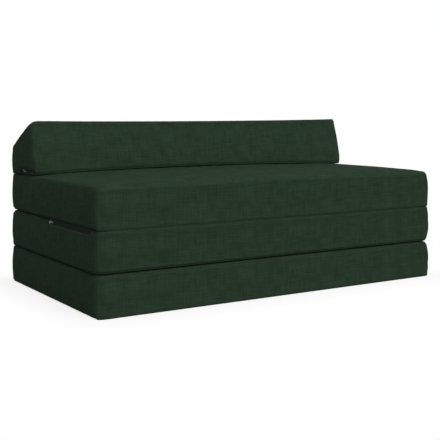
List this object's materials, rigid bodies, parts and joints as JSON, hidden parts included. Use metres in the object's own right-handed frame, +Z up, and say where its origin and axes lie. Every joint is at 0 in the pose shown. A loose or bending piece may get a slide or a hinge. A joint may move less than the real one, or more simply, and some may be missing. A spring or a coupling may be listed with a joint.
{
  "type": "folding sofa bed",
  "caption": "Low foam sofa that unfolds backwards in a Z into a guest bed, with a wedge bolster hinged at the back of its seat.",
  "frame": {"origin": "on the floor under the middle of the folded sofa's base", "axes": "+X along the width to the right of someone facing the sofa, the seat faces -Y, +Z up"},
  "size_m": [1.2, 0.661, 0.5153],
  "materials": {
    "cover_fabric": "matte",
    "foam": "matte",
    "zip_tape": "matte",
    "zip_nylon": "satin",
    "zip_metal": "satin"
  },
  "bodies": {
    "lower_block": {"lower_foam": "foam", "lower_base_panel": "cover_fabric", "lower_side_band": "cover_fabric", "lower_top_panel": "cover_fabric", "lower_zip_tape": "zip_tape", "lower_zip_chain": "zip_nylon", "lower_zip_stops": "zip_metal", "middle_fold_strip": "cover_fabric"},
    "middle_block": {"middle_foam": "foam", "middle_base_panel": "cover_fabric", "middle_side_band": "cover_fabric", "middle_top_panel": "cover_fabric", "middle_zip_tape": "zip_tape", "middle_zip_chain": "zip_nylon", "middle_zip_stops": "zip_metal", "upper_fold_strip": "cover_fabric"},
    "upper_block": {"upper_foam": "foam", "upper_base_panel": "cover_fabric", "upper_side_band": "cover_fabric", "upper_top_panel": "cover_fabric", "upper_zip_tape": "zip_tape", "upper_zip_chain": "zip_nylon", "upper_zip_stops": "zip_metal", "bolster_fold_strip": "cover_fabric"},
    "bolster": {"bolster_foam": "foam", "bolster_base_panel": "cover_fabric", "bolster_side_band": "cover_fabric", "bolster_top_panel": "cover_fabric", "bolster_zip_tape": "zip_tape", "bolster_zip_chain": "zip_nylon", "bolster_zip_stops": "zip_metal"},
    "lower_slider": {"lower_zip_slider": "zip_metal"},
    "lower_pull": {"lower_zip_pull": "zip_metal"},
    "middle_slider": {"middle_zip_slider": "zip_metal"},
    "middle_pull": {"middle_zip_pull": "zip_metal"},
    "upper_slider": {"upper_zip_slider": "zip_metal"},
    "upper_pull": {"upper_zip_pull": "zip_metal"},
    "bolster_slider": {"bolster_zip_slider": "zip_metal"},
    "bolster_pull": {"bolster_zip_pull": "zip_metal"}
  },
  "joints": [
    {"name": "middle_fold", "type": "hinge", "parent": "lower_block", "child": "middle_block", "pos_m": [0, 0.3292, 0.115], "axis": [-1, 0, 0], "range_deg": [0, 180], "deforming": ["middle_fold_strip"]},
    {"name": "upper_fold", "type": "hinge", "parent": "middle_block", "child": "upper_block", "pos_m": [0, -0.3292, 0.23], "axis": [1, 0, 0], "range_deg": [0, 180], "deforming": ["upper_fold_strip"]},
    {"name": "bolster_fold", "type": "hinge", "parent": "upper_block", "child": "bolster", "pos_m": [0, 0.3292, 0.345], "axis": [-1, 0, 0], "range_deg": [0, 160], "deforming": ["bolster_fold_strip"]},
    {"name": "lower_zip_slide", "type": "slide", "parent": "lower_block", "child": "lower_slider", "axis": [0, -1, 0], "range_m": [0, 0.278], "deforming": ["lower_zip_chain"]},
    {"name": "lower_pull_swing", "type": "hinge", "parent": "lower_slider", "child": "lower_pull", "pos_m": [0.59624, -0.0035, 0.00624], "axis": [0.5, 0, 0.866], "range_deg": [0, 170]},
    {"name": "middle_zip_slide", "type": "slide", "parent": "middle_block", "child": "middle_slider", "axis": [0, -1, 0], "range_m": [0, 0.278], "deforming": ["middle_zip_chain"]},
    {"name": "middle_pull_swing", "type": "hinge", "parent": "middle_slider", "child": "middle_pull", "pos_m": [-0.59624, -0.0035, 0.22356], "axis": [-0.5, 0, -0.866], "range_deg": [0, 170]},
    {"name": "upper_zip_slide", "type": "slide", "parent": "upper_block", "child": "upper_slider", "axis": [0, -1, 0], "range_m": [0, 0.278], "deforming": ["upper_zip_chain"]},
    {"name": "upper_pull_swing", "type": "hinge", "parent": "upper_slider", "child": "upper_pull", "pos_m": [0.59624, -0.0035, 0.23644], "axis": [0.5, 0, 0.866], "range_deg": [0, 170]},
    {"name": "bolster_zip_slide", "type": "slide", "parent": "bolster", "child": "bolster_slider", "axis": [0, -1, 0], "range_m": [0, 0.067], "deforming": ["bolster_zip_chain"]},
    {"name": "bolster_pull_swing", "type": "hinge", "parent": "bolster_slider", "child": "bolster_pull", "pos_m": [-0.59231, 0.2295, 0.35835], "axis": [0.5, 0, -0.866], "range_deg": [0, 140]}
  ]
}
